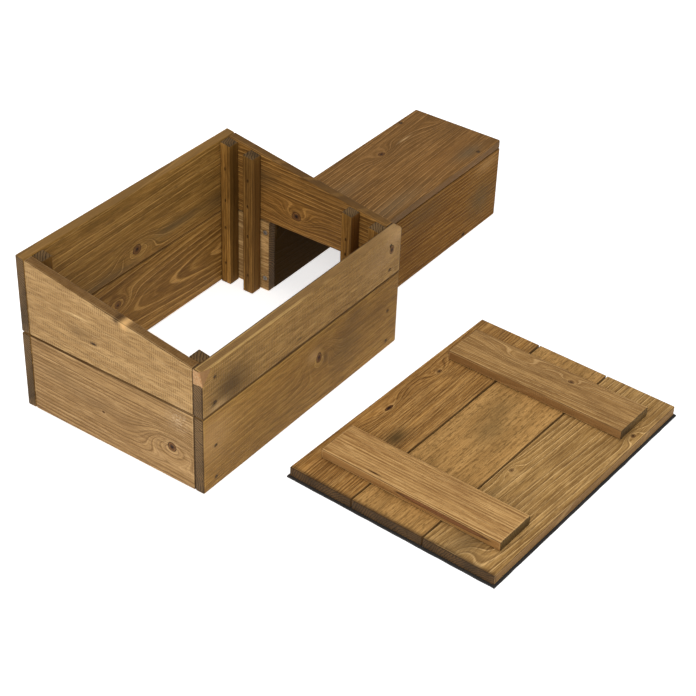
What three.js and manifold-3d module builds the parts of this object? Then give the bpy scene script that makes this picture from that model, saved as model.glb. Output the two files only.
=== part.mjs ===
// Small animal shelter box in stained softwood boards: a bottomless chamber with a one-way sloping
// top, a covered entrance tunnel on one end, and a loose felted lid lying upside down beside it.
// Millimetres, +Z up. Box frame: X runs along the box from the closed end to the tunnel, Y from the
// low front wall to the high rear wall, Z from the ground. The exported group moves that frame so
// that the origin is the bottom centre of the whole model.
import * as THREE from 'three';
import { mergeVertices } from 'three/addons/utils/BufferGeometryUtils.js';
import Module from 'manifold-3d';

const wasm = await Module();
wasm.setup();

// ---- driving dimensions ----
const BOARD_THICKNESS = 14.5;
const BOARD_WIDTH = 118.5;
const BOARD_SEAM = 1.5; // open seam between the lower and the upper board of a wall
const FIT_GAP = 0.3; // hairline left between pieces that touch

const BOX_LENGTH = 426;
const BOX_WIDTH = 305;
const FRONT_HEIGHT = 190;
const REAR_HEIGHT = 2 * BOARD_WIDTH + BOARD_SEAM;

const POST_LENGTHWISE = 20;
const POST_CROSSWISE = 18;
const POST_TOP_DROP = 1; // posts stop just under the roof plane
const ENTRANCE_POST_REAR_Y = 231.5;
const ENTRANCE_POST_FRONT_Y = 59.5;

const TUNNEL_LENGTH = 382;
const TUNNEL_WIDTH = 158;
const TUNNEL_NAIL_INSETS = [52, 329]; // from the box wall

const LID_LENGTH = 433;
const LID_SEAMS = [107, 217]; // middle of each seam, from the lid's front edge
const LID_WIDTH = 316;
const LID_BATTENS = { near: [39.5, 105.5], far: [321.5, 390.5] }; // spans along the lid
const LID_BATTEN_SETBACK = 19;
const FELT_THICKNESS = 2;
const FELT_OVERHANG = 3.5;
const LID_CORNER = [82.5, -379]; // near front corner of the lid's boards on the ground
const LID_YAW = THREE.MathUtils.degToRad(-2.24);

// Broken top corner of the upper front board: how far the break reaches along each edge.
const BREAK_ALONG = 18;
const BREAK_DOWN = 22;
const BREAK_DOWN_INSIDE = 10;

const WALL_NAIL = { head: 2.2, headThickness: 1, rim: 1, shank: 1.2, length: 30, sunk: 0.8, sides: 8 };
const TUNNEL_NAIL = { head: 2.6, headThickness: 1.2, rim: 1.2, shank: 1.4, length: 40, sunk: 0.8, sides: 8 };
const STUB_SCREW = { head: 3.8, headThickness: 2.4, rim: 0.4, shank: 1.8, length: 40, sunk: 0, sides: 10 };
const DRILL_CLEARANCE = 0.3;
const DRILL_RUNOUT = 3;
const WALL_NAIL_HEIGHTS = {
  front: { lower: [14, 65], upper: [133, 172] },
  rear: { lower: [14, 65], upper: [135, 215] },
};
const STUB_SCREW_HEIGHTS = [21, 100];

// ---- values worked out from them ----
const INNER_FRONT_Y = BOARD_THICKNESS;
const INNER_REAR_Y = BOX_WIDTH - BOARD_THICKNESS;
const UPPER_BOARD_Z = BOARD_WIDTH + BOARD_SEAM;
const ENTRANCE_WALL_X = BOX_LENGTH - BOARD_THICKNESS;
const TUNNEL_FRONT_Y = (BOX_WIDTH - TUNNEL_WIDTH) / 2;
const TUNNEL_REAR_Y = TUNNEL_FRONT_Y + TUNNEL_WIDTH;
const BORE_FRONT_Y = TUNNEL_FRONT_Y + BOARD_THICKNESS;
const BORE_REAR_Y = TUNNEL_REAR_Y - BOARD_THICKNESS;
const TUNNEL_END_X = BOX_LENGTH + TUNNEL_LENGTH;
const TUNNEL_TOP_Z = BOARD_WIDTH + FIT_GAP;

// Height of the sloping top plane above the ground at a distance y from the front face.
function roofHeight(y) {
  return FRONT_HEIGHT + ((REAR_HEIGHT - FRONT_HEIGHT) * y) / BOX_WIDTH;
}

// ---- materials ----
const COLOURS = {
  wall: '#8f6d42',
  closedEnd: '#a98250',
  post: '#7d5a33',
  tunnel: '#80603a',
  lid: '#a17a48',
  batten: '#b08a58',
  felt: '#1a1815',
  steel: '#5b5650',
  zinc: '#a9a59c',
};

function wood(colour) {
  return new THREE.MeshStandardMaterial({ color: colour, roughness: 0.72, metalness: 0 });
}

function felt() {
  return new THREE.MeshStandardMaterial({ color: COLOURS.felt, roughness: 0.95, metalness: 0 });
}

function metal(colour) {
  return new THREE.MeshStandardMaterial({ color: colour, roughness: 0.45, metalness: 1 });
}

// ---- shapes ----
// A board or post with a low corner at the local origin.
function boardGeometry(length, width, height) {
  return new THREE.BoxGeometry(length, width, height).translate(length / 2, width / 2, height / 2);
}

// An outline in the Y-Z plane, given relative to (originY, originZ), run along +X for a length.
function profileGeometry(outline, originY, originZ, length) {
  const shape = new THREE.Shape(outline.map(([y, z]) => new THREE.Vector2(y - originY, z - originZ)));
  const geometry = new THREE.ExtrudeGeometry(shape, { depth: length, bevelEnabled: false });
  const axes = new THREE.Matrix4().makeBasis(
    new THREE.Vector3(0, 1, 0),
    new THREE.Vector3(0, 0, 1),
    new THREE.Vector3(1, 0, 0),
  );
  return geometry.applyMatrix4(axes);
}

// The outline of a piece between two Y faces whose top follows the roof plane, less a drop.
function underRoofOutline(y0, y1, z0, drop = 0) {
  return [
    [y0, z0],
    [y1, z0],
    [y1, roofHeight(y1) - drop],
    [y0, roofHeight(y0) - drop],
  ];
}

// Nail or screw with its head's top face at the local origin and its shank along -Y.
function fastenerGeometry({ head, headThickness, rim, shank, length, sides }) {
  const profile = [
    new THREE.Vector2(0, -length),
    new THREE.Vector2(shank, -length + shank),
    new THREE.Vector2(shank, -headThickness),
    new THREE.Vector2(head, -rim),
    new THREE.Vector2(head, 0),
    new THREE.Vector2(0, 0),
  ];
  return new THREE.LatheGeometry(profile, sides);
}

// The hole drilled for that fastener, open above its head.
function drillGeometry({ head, headThickness, rim, shank, length, sides }) {
  const clear = DRILL_CLEARANCE;
  const profile = [
    new THREE.Vector2(0, -length - clear),
    new THREE.Vector2(shank + clear, -length - clear),
    new THREE.Vector2(shank + clear, -headThickness - clear),
    new THREE.Vector2(head + clear, -rim - clear),
    new THREE.Vector2(head + clear, DRILL_RUNOUT),
    new THREE.Vector2(0, DRILL_RUNOUT),
  ];
  return new THREE.LatheGeometry(profile, sides);
}

// ---- solid cuts ----
function toSolid(geometry) {
  const bare = geometry.index ? geometry.toNonIndexed() : geometry.clone();
  bare.deleteAttribute('normal');
  bare.deleteAttribute('uv');
  const merged = mergeVertices(bare, 1e-4);
  return new wasm.Manifold(
    new wasm.Mesh({
      numProp: 3,
      vertProperties: new Float32Array(merged.attributes.position.array),
      triVerts: new Uint32Array(merged.index.array),
    }),
  );
}

function toGeometry(solid) {
  const mesh = solid.getMesh();
  const geometry = new THREE.BufferGeometry();
  geometry.setAttribute('position', new THREE.BufferAttribute(new Float32Array(mesh.vertProperties), 3));
  geometry.setIndex(new THREE.BufferAttribute(new Uint32Array(mesh.triVerts), 1));
  geometry.computeVertexNormals();
  return geometry;
}

// Cuts each tool, a geometry in the box frame, out of a piece whose local origin is at position.
function cut(geometry, position, tools) {
  const offset = new THREE.Vector3(...position).negate();
  let solid = toSolid(geometry);
  for (const tool of tools) {
    solid = solid.subtract(toSolid(tool.clone().translate(offset.x, offset.y, offset.z)));
  }
  return toGeometry(solid);
}

// ---- fasteners, each with the face point it enters at and its direction, in the box frame ----
const POST_CENTRE_X = [
  BOARD_THICKNESS + FIT_GAP + POST_LENGTHWISE / 2,
  ENTRANCE_WALL_X - FIT_GAP - POST_LENGTHWISE / 2,
];
const TUNNEL_SIDE_CENTRE_Y = {
  front: TUNNEL_FRONT_Y + BOARD_THICKNESS / 2,
  rear: TUNNEL_REAR_Y - BOARD_THICKNESS / 2,
};

function wallNails(wall, faceY, inward) {
  const nails = [];
  for (const [level, heights] of Object.entries(WALL_NAIL_HEIGHTS[wall])) {
    for (const [end, x] of [['closed', POST_CENTRE_X[0]], ['entrance', POST_CENTRE_X[1]]]) {
      heights.forEach((z, index) => {
        const name = `nail_${wall}_${end}_${level}_${index + 1}`;
        nails.push({ name, size: WALL_NAIL, point: [x, faceY, z], direction: [0, inward, 0] });
      });
    }
  }
  return nails;
}

function tunnelTopNails() {
  const nails = [];
  for (const [side, y] of Object.entries(TUNNEL_SIDE_CENTRE_Y)) {
    TUNNEL_NAIL_INSETS.forEach((inset, index) => {
      const point = [BOX_LENGTH + inset, y, TUNNEL_TOP_Z + BOARD_THICKNESS];
      const name = `nail_tunnel_${side}_${index + 1}`;
      nails.push({ name, size: TUNNEL_NAIL, point, direction: [0, 0, -1] });
    });
  }
  return nails;
}

function stubScrews() {
  const screws = [];
  for (const [side, y] of Object.entries(TUNNEL_SIDE_CENTRE_Y)) {
    STUB_SCREW_HEIGHTS.forEach((z, index) => {
      const name = `screw_stub_${side}_${index + 1}`;
      screws.push({ name, size: STUB_SCREW, point: [ENTRANCE_WALL_X, y, z], direction: [1, 0, 0] });
    });
  }
  return screws;
}

const frontNails = wallNails('front', 0, 1);
const rearNails = wallNails('rear', BOX_WIDTH, -1);
const topNails = tunnelTopNails();
const screws = stubScrews();

// Turns and places a fastener shape, or the hole for it, where the fastener goes.
function placement({ size, point, direction }) {
  const inward = new THREE.Vector3(...direction);
  const position = new THREE.Vector3(...point).addScaledVector(inward, size.sunk);
  const quaternion = new THREE.Quaternion().setFromUnitVectors(new THREE.Vector3(0, -1, 0), inward);
  return { position, quaternion };
}

function drillHoles(fasteners) {
  return fasteners.map((fastener) => {
    const { position, quaternion } = placement(fastener);
    return drillGeometry(fastener.size).applyQuaternion(quaternion).translate(...position.toArray());
  });
}

function near(fasteners, x) {
  return fasteners.filter((fastener) => fastener.point[0] === x);
}

function level(fasteners, name) {
  return fasteners.filter((fastener) => fastener.name.includes(`_${name}_`));
}

// ---- groups and pieces ----
function addPiece(group, name, geometry, position, material) {
  const mesh = new THREE.Mesh(geometry, material);
  mesh.name = name;
  mesh.position.set(...position);
  group.add(mesh);
}

function addFasteners(group, fasteners, colour) {
  for (const fastener of fasteners) {
    const { position, quaternion } = placement(fastener);
    const mesh = new THREE.Mesh(fastenerGeometry(fastener.size), metal(colour));
    mesh.name = fastener.name;
    mesh.position.copy(position);
    mesh.quaternion.copy(quaternion);
    group.add(mesh);
  }
}

// The wedge that is missing at the closed end's top corner of the upper front board.
function cornerBreak() {
  const reach = 60;
  const onTop = new THREE.Vector3(BREAK_ALONG, 0, FRONT_HEIGHT);
  const onEnd = new THREE.Vector3(0, 0, FRONT_HEIGHT - BREAK_DOWN);
  const inside = new THREE.Vector3(0, BOARD_THICKNESS, FRONT_HEIGHT - BREAK_DOWN_INSIDE);
  const normal = onEnd.clone().sub(onTop).cross(inside.clone().sub(onTop)).normalize();
  if (normal.z < 0) normal.negate();
  const block = new THREE.BoxGeometry(reach, reach, reach).translate(0, reach / 2, 0);
  const turn = new THREE.Quaternion().setFromUnitVectors(new THREE.Vector3(0, 1, 0), normal);
  return block.applyQuaternion(turn).translate(...onTop.toArray());
}

function addLongWall(group, wall, y0, y1, nails, breaks) {
  const lowerPlace = [0, y0, 0];
  const lower = boardGeometry(BOX_LENGTH, y1 - y0, BOARD_WIDTH);
  const lowerCut = cut(lower, lowerPlace, drillHoles(level(nails, 'lower')));
  addPiece(group, `${wall}_board_lower`, lowerCut, lowerPlace, wood(COLOURS.wall));

  const upperPlace = [0, y0, UPPER_BOARD_Z];
  const outline = underRoofOutline(y0, y1, UPPER_BOARD_Z);
  const upper = profileGeometry(outline, y0, UPPER_BOARD_Z, BOX_LENGTH);
  const upperCut = cut(upper, upperPlace, [...drillHoles(level(nails, 'upper')), ...breaks]);
  addPiece(group, `${wall}_board_upper`, upperCut, upperPlace, wood(COLOURS.wall));
}

function addEndWalls(group) {
  const y0 = INNER_FRONT_Y + FIT_GAP;
  const y1 = INNER_REAR_Y - FIT_GAP;
  const lower = boardGeometry(BOARD_THICKNESS, y1 - y0, BOARD_WIDTH);
  addPiece(group, 'closed_end_board_lower', lower, [0, y0, 0], wood(COLOURS.closedEnd));
  const outline = underRoofOutline(y0, y1, UPPER_BOARD_Z);
  for (const [name, x] of [['closed_end', 0], ['entrance_end', ENTRANCE_WALL_X]]) {
    const upper = profileGeometry(outline, y0, UPPER_BOARD_Z, BOARD_THICKNESS);
    addPiece(group, `${name}_board_upper`, upper, [x, y0, UPPER_BOARD_Z], wood(COLOURS.closedEnd));
  }
  for (const [side, from, to] of [['front', y0, BORE_FRONT_Y], ['rear', BORE_REAR_Y, y1]]) {
    const place = [ENTRANCE_WALL_X, from, 0];
    const holes = drillHoles(screws.filter((screw) => screw.name.includes(`_${side}_`)));
    const stub = cut(boardGeometry(BOARD_THICKNESS, to - from, BOARD_WIDTH), place, holes);
    addPiece(group, `entrance_stub_${side}`, stub, place, wood(COLOURS.closedEnd));
  }
}

function addPost(group, name, x, y, nails) {
  const place = [x, y, 0];
  const outline = underRoofOutline(y, y + POST_CROSSWISE, 0, POST_TOP_DROP);
  const post = profileGeometry(outline, y, 0, POST_LENGTHWISE);
  const drilled = nails.length > 0 ? cut(post, place, drillHoles(nails)) : post;
  addPiece(group, name, drilled, place, wood(COLOURS.post));
}

function addPosts(group) {
  const frontY = INNER_FRONT_Y + FIT_GAP;
  const rearY = INNER_REAR_Y - FIT_GAP - POST_CROSSWISE;
  for (const [index, end] of ['closed', 'entrance'].entries()) {
    const x = POST_CENTRE_X[index] - POST_LENGTHWISE / 2;
    addPost(group, `corner_post_${end}_front`, x, frontY, near(frontNails, POST_CENTRE_X[index]));
    addPost(group, `corner_post_${end}_rear`, x, rearY, near(rearNails, POST_CENTRE_X[index]));
  }
  const x = POST_CENTRE_X[1] - POST_LENGTHWISE / 2;
  addPost(group, 'entrance_post_front', x, ENTRANCE_POST_FRONT_Y, []);
  addPost(group, 'entrance_post_rear', x, ENTRANCE_POST_REAR_Y, []);
}

function addTunnel(group) {
  const x = BOX_LENGTH + FIT_GAP;
  const length = TUNNEL_END_X - x;
  for (const [side, y] of [['front', TUNNEL_FRONT_Y], ['rear', BORE_REAR_Y]]) {
    const fasteners = [...screws, ...topNails].filter(({ name }) => name.includes(`_${side}_`));
    const board = boardGeometry(length, BOARD_THICKNESS, BOARD_WIDTH);
    const drilled = cut(board, [x, y, 0], drillHoles(fasteners));
    addPiece(group, `tunnel_side_${side}`, drilled, [x, y, 0], wood(COLOURS.tunnel));
  }
  const place = [x, TUNNEL_FRONT_Y, TUNNEL_TOP_Z];
  const top = cut(boardGeometry(length, TUNNEL_WIDTH, BOARD_THICKNESS), place, drillHoles(topNails));
  addPiece(group, 'tunnel_top', top, place, wood(COLOURS.tunnel));
}

// The lid lies upside down: felt on the ground, boards on the felt, battens on top.
function makeLid() {
  const lid = new THREE.Group();
  const feltGeometry = boardGeometry(
    LID_LENGTH + 2 * FELT_OVERHANG,
    LID_WIDTH + 2 * FELT_OVERHANG,
    FELT_THICKNESS,
  );
  addPiece(lid, 'roofing_felt', feltGeometry, [-FELT_OVERHANG, -FELT_OVERHANG, 0], felt());

  const boardZ = FELT_THICKNESS + FIT_GAP;
  const edges = [-BOARD_SEAM / 2, ...LID_SEAMS, LID_WIDTH + BOARD_SEAM / 2];
  for (const [index, name] of ['front', 'middle', 'rear'].entries()) {
    const from = edges[index] + BOARD_SEAM / 2;
    const to = edges[index + 1] - BOARD_SEAM / 2;
    const board = boardGeometry(LID_LENGTH, to - from, BOARD_THICKNESS);
    addPiece(lid, `lid_board_${name}`, board, [0, from, boardZ], wood(COLOURS.lid));
  }

  const battenZ = boardZ + BOARD_THICKNESS + FIT_GAP;
  for (const [name, [from, to]] of Object.entries(LID_BATTENS)) {
    const batten = boardGeometry(to - from, LID_WIDTH - 2 * LID_BATTEN_SETBACK, BOARD_THICKNESS);
    addPiece(lid, `lid_batten_${name}`, batten, [from, LID_BATTEN_SETBACK, battenZ], wood(COLOURS.batten));
  }

  lid.position.set(LID_CORNER[0], LID_CORNER[1], 0);
  lid.rotation.z = LID_YAW;
  return lid;
}

function makeBox() {
  const box = new THREE.Group();
  addLongWall(box, 'front', 0, BOARD_THICKNESS, frontNails, [cornerBreak()]);
  addLongWall(box, 'rear', INNER_REAR_Y, BOX_WIDTH, rearNails, []);
  addEndWalls(box);
  addPosts(box);
  addTunnel(box);
  addFasteners(box, [...frontNails, ...rearNails, ...topNails], COLOURS.steel);
  addFasteners(box, screws, COLOURS.zinc);
  return box;
}

// ---- the whole model, with its bottom centre at the origin ----
const shelter = new THREE.Group();
shelter.add(makeBox(), makeLid());
shelter.updateMatrixWorld(true);
const middle = new THREE.Box3().setFromObject(shelter, true).getCenter(new THREE.Vector3());
shelter.position.set(-middle.x, -middle.y, 0);

export default shelter;
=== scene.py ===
"""Nesting box in stained softwood: walls, corner posts, entrance tunnel and the loose felted lid."""

import math

import bmesh
import bpy
from mathutils import Euler, Matrix, Vector, noise


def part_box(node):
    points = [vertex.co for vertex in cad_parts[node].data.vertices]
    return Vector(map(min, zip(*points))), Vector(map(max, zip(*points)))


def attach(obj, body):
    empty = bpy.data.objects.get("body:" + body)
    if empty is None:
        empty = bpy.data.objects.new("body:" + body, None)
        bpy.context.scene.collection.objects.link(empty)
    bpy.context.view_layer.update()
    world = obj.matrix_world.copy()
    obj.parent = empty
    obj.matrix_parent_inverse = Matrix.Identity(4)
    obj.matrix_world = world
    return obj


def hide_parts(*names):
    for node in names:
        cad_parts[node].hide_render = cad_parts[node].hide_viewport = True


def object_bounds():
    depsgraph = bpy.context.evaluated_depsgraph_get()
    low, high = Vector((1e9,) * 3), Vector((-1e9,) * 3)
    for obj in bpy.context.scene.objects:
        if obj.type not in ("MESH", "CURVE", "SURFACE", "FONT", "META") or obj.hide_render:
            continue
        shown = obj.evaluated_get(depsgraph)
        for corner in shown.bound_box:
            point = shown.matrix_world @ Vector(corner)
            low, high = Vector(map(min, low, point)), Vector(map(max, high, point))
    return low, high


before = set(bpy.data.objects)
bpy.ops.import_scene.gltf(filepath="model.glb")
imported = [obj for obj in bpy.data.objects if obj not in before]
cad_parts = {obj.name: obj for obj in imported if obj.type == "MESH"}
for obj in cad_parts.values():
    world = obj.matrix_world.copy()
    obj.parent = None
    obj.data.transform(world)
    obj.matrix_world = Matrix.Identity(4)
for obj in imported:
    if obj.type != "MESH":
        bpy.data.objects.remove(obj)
CAD_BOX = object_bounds()

bl_info = {
    "name": "Nesting box",
    "version": (1, 0, 0),
    "blender": (4, 5, 0),
    "location": "View3D > Sidebar > Nesting box",
    "description": "Builds the boards, posts, tunnel, lid and fixings of a wooden nesting box",
    "category": "Object",
}

# ---- places that the frame doesn't hold, in metres ----
FRONT_EDGE_HEIGHT = 0.190
REAR_EDGE_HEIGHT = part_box("rear_board_upper")[1].z
OUTER_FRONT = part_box("front_board_lower")[0].y
OUTER_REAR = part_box("rear_board_lower")[1].y
ROOF_RISE = (REAR_EDGE_HEIGHT - FRONT_EDGE_HEIGHT) / (OUTER_REAR - OUTER_FRONT)
ROOF_NORMAL = Vector((0.0, -ROOF_RISE, 1.0)).normalized()
POST_TOP_DROP = 0.001
LID_CORNER = Vector((-0.3215, -0.331721, 0.0))
LID_TURN = math.radians(-2.24)
LID_LENGTH = 0.433
LID_BOARD_EDGES = {
    "lid_board_front": (0.0, 0.10625),
    "lid_board_middle": (0.10775, 0.21625),
    "lid_board_rear": (0.21775, 0.316),
}
LID_BATTEN_SPANS = {"lid_batten_near": (0.0395, 0.1055), "lid_batten_far": (0.3215, 0.3905)}
LID_BATTEN_ENDS = (0.019, 0.297)
LID_BOARD_HEIGHTS = (0.0023, 0.0168)
LID_BATTEN_HEIGHTS = (0.0171, 0.0316)
FELT_HEIGHTS = (0.0, 0.002)
FELT_OVERHANG = 0.0035
# The broken corner: how far along and down, its two facets (inward, back along), and the part
# of its height that looks fresh on the end.
BREAK_ALONG = 0.018
BREAK_DOWN = 0.022
BREAK_FACETS = ((0.0032, 0.0), (0.0052, 0.0060))
BREAK_FRESH_SHARE = 0.85
BREAK_FRESH_SLANT = Vector((0.25, 0.1, 1.0)).normalized()

# ---- shaping values ----
# Which way a fixing's head faces along its axis, and which broad face of a wall board is outside.
HEAD_SIDES = {"nail_front": -1, "nail_rear": 1, "nail_tunnel": 1, "screw_stub": -1}
OUTER_FACES = {"front": 1, "rear": -1}
CUT_TOLERANCE = 1e-7
ARRIS_ANGLE = math.radians(12)
SMOOTH_ANGLE = math.radians(32)
# A sunk hole's cuts, its first inset and its rim, in parts of its radius.
HOLE_MARGIN = 1.6
HOLE_INSET = 0.3
HOLE_RIM = 0.22
FELT_ARRIS = 0.0005
FELT_CUTS = (60, 44)
FELT_RAGGED_BAND = 0.004

# ---- the wood's patterns ----
# Changes per metre along and across a board, then the noise's detail and roughness.
PATTERNS = {
    "drift": (4.0, 11.0, 1.0, 0.5),
    "cloud": (9.0, 22.0, 3.0, 0.5),
    "jitter": (14.0, 60.0, 2.0, 0.5),
    "fibre": (30.0, 460.0, 4.0, 0.75),
    "fleck": (70.0, 900.0, 1.0, 0.5),
    "dot": (90.0, 300.0, 2.0, 0.5),
    "saw patch": (60.0, 330.0, 1.0, 0.5),
    "bare speck": (260.0, 640.0, 2.0, 0.7),
}
# How each kind of board lies, its slot and arris, and its first seed and the step to the next.
BOARD_KINDS = {
    "wall": ("lengthwise upright", "wall_wood", "board_arris", 7.0, 5),
    "end": ("crosswise upright", "end_wood", "board_arris", 20.0, 3.3),
    "post": ("standing", "post_wood", "post_arris", 40.0, 2.7),
    "tunnel side": ("lengthwise upright", "tunnel_wood", "lid_arris", 60.0, 4),
    "tunnel top": ("lengthwise flat", "tunnel_wood", "tunnel_arris", 71.0, 0),
    "lid board": ("lid board", "lid_wood", "lid_arris", 80.0, 6.1),
    "batten": ("lid batten", "batten_wood", "batten_arris", 100.0, 7.3),
}
# Widths and reaches in metres; shares run from 0 to 1.
LATE_LINE_WIDTH = 0.0015
PIN_LINES_PER_METRE = 620.0
END_PITH = (0.050, 0.034)
END_RING = 0.0034
END_WAVER = 2.4
EDGE_SHARE = 0.75
HALO_REACH = (1.5, 1.2)
HALO_SHARE = 0.5
ARRIS_RAGGED = 0.0009
GRAIN_RELIEF = 0.0012
WOOD_ROUGHNESS = 0.74

# ---- the stage ----
SENSOR_WIDTH = 36.0
VIEW_END = 50.0
KEY_LIGHT = {"place": (-2.6, -0.9, 1.9), "size": 2.2}
TOP_LIGHT = {"place": (0.2, -0.3, 2.8), "size": 2.6}
FLOOR_REACH = 30.0
FLOOR_DROP = 0.0003
FLOOR_GLOW = 0.58

QUARTER = math.radians(90)
LAYS = {
    "lengthwise upright": Euler((QUARTER, 0, 0)),
    "crosswise upright": Euler((QUARTER, 0, QUARTER)),
    "lengthwise flat": Euler((0, 0, 0)),
    "standing": Euler((0, -QUARTER, 0)),
    "lid board": Euler((0, 0, LID_TURN)),
    "lid batten": Euler((0, 0, QUARTER + LID_TURN)),
}


def tone(red, green, blue):
    """A colour given in display steps of 0 to 255, as linear light."""
    def linear(step):
        part = step / 255
        return part / 12.92 if part <= 0.04045 else ((part + 0.055) / 1.055) ** 2.4
    return (linear(red), linear(green), linear(blue), 1.0)


def colour_setting(label, about, steps):
    return bpy.props.FloatVectorProperty(
        name=label, description=about, subtype="COLOR", size=4, min=0, max=1, default=tone(*steps)
    )


def length_setting(label, about, metres):
    return bpy.props.FloatProperty(
        name=label, description=about, default=metres, unit="LENGTH", precision=5
    )


def angle_setting(label, about, degrees):
    return bpy.props.FloatProperty(
        name=label, description=about, default=math.radians(degrees), subtype="ANGLE"
    )


def plain_setting(label, about, value):
    return bpy.props.FloatProperty(name=label, description=about, default=value)


class NestingBoxSizes(bpy.types.PropertyGroup):
    """Small sizes of the joinery and the fixings."""
    board_arris: length_setting("Board arris", "Radius worn on the long edges of boards", 0.0020)
    post_arris: length_setting("Post arris", "Radius worn on the edges of posts", 0.0014)
    tunnel_arris: length_setting("Tunnel arris", "Radius on the tunnel's top board", 0.0022)
    lid_arris: length_setting("Lid arris", "Radius worn on the edges of the lid's boards", 0.0008)
    batten_arris: length_setting("Batten arris", "Radius on the lid's battens", 0.0016)
    waviness: length_setting("Waviness", "How far a sawn face wanders inwards", 0.0005)
    loop_pitch: length_setting("Loop pitch", "Distance between the cuts along a board", 0.022)
    nail_hole: length_setting("Nail hole", "Radius of the crushed hole round a wall nail", 0.0027)
    tunnel_nail_hole: length_setting("Tunnel nail hole", "Radius round a tunnel nail", 0.0031)
    slot_width: length_setting("Slot width", "Half width of a nail slot in a post", 0.0013)
    slot_length: length_setting("Slot length", "Half length of a nail slot in a post", 0.0030)
    screw_hole: length_setting("Screw hole", "Radius of the hole round a stub's screw", 0.0039)
    hole_depth: length_setting("Hole depth", "Depth of the crushed hole round a nail", 0.0012)
    felt_wander: length_setting("Felt wander", "How far the felt's cut edge wanders", 0.0012)


class NestingBoxColours(bpy.types.PropertyGroup):
    """Colours of the stained wood, the felt and the steel."""
    end_grain: colour_setting("End grain", "Sawn ends of boards", (126, 97, 62))
    end_grain_dark: colour_setting("End grain rings", "Rings on the sawn ends", (42, 31, 18))
    knot: colour_setting("Knot", "Body of a knot", (118, 74, 36))
    knot_core: colour_setting("Knot core", "Cracked middle of a knot", (40, 24, 12))
    # The arris colour is dirt and also painted shade along edges and the seams between parts.
    arris: colour_setting("Arris", "Dirt held along the edges", (52, 36, 20))
    nail_stain: colour_setting("Nail stain", "Wood crushed and stained round a nail", (58, 40, 22))
    split: colour_setting("Split wood", "Fresh wood where a corner broke away", (190, 150, 102))
    split_dark: colour_setting("Split shadow", "Between the torn fibres", (128, 84, 44))
    split_warm: colour_setting("Split body", "Warmer patches of the split", (166, 112, 62))
    # Painted shade: the split's facets, turned away from the light, take this darker tone.
    split_facet_shade: colour_setting("Split facet", "Older face of the split", (126, 88, 44))
    bare: colour_setting("Bare wood", "Where the stain is rubbed off", (198, 174, 140))
    felt: colour_setting("Felt", "Bitumen roofing felt", (26, 23, 21))
    felt_grit: colour_setting("Felt grit", "Mineral grit on the felt", (70, 66, 62))
    felt_dark: colour_setting("Felt patches", "Darker patches of the felt", (14, 12, 11))
    steel: colour_setting("Steel", "Browned nail heads", (80, 58, 36))
    steel_dull: colour_setting("Steel patches", "Rusted patches", (30, 22, 14))
    zinc: colour_setting("Zinc", "Bright countersunk screws", (205, 200, 190))
    zinc_dull: colour_setting("Zinc patches", "Tarnished patches", (140, 132, 118))
    floor: colour_setting("Floor", "Pale studio floor", (250, 250, 250))
    floor_mottle: colour_setting("Floor mottle", "Faint mottle of the floor", (248, 248, 248))


class NestingBoxStudio(bpy.types.PropertyGroup):
    """Camera, lights and floor."""
    camera_place: bpy.props.FloatVectorProperty(
        name="Camera place", description="Where the camera stands", subtype="TRANSLATION",
        size=3, default=(-1.7045, -1.0571, 1.4665),
    )
    camera_heading: angle_setting("Heading", "Turn of the view from the box's length", 34.48)
    camera_dip: angle_setting("Dip", "How far the view looks down", 35.90)
    camera_roll: angle_setting("Roll", "Turn of the view about its own axis", 2.24)
    camera_lens: plain_setting("Lens", "Focal length in millimetres on a 36 mm sensor", 91.55)
    key_power: plain_setting("Key power", "Watts of the large light", 50.0)
    fill_power: plain_setting("Fill power", "Watts of the overhead light", 22.0)
    sky_strength: plain_setting("Sky strength", "Light from all round", 0.50)


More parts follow.
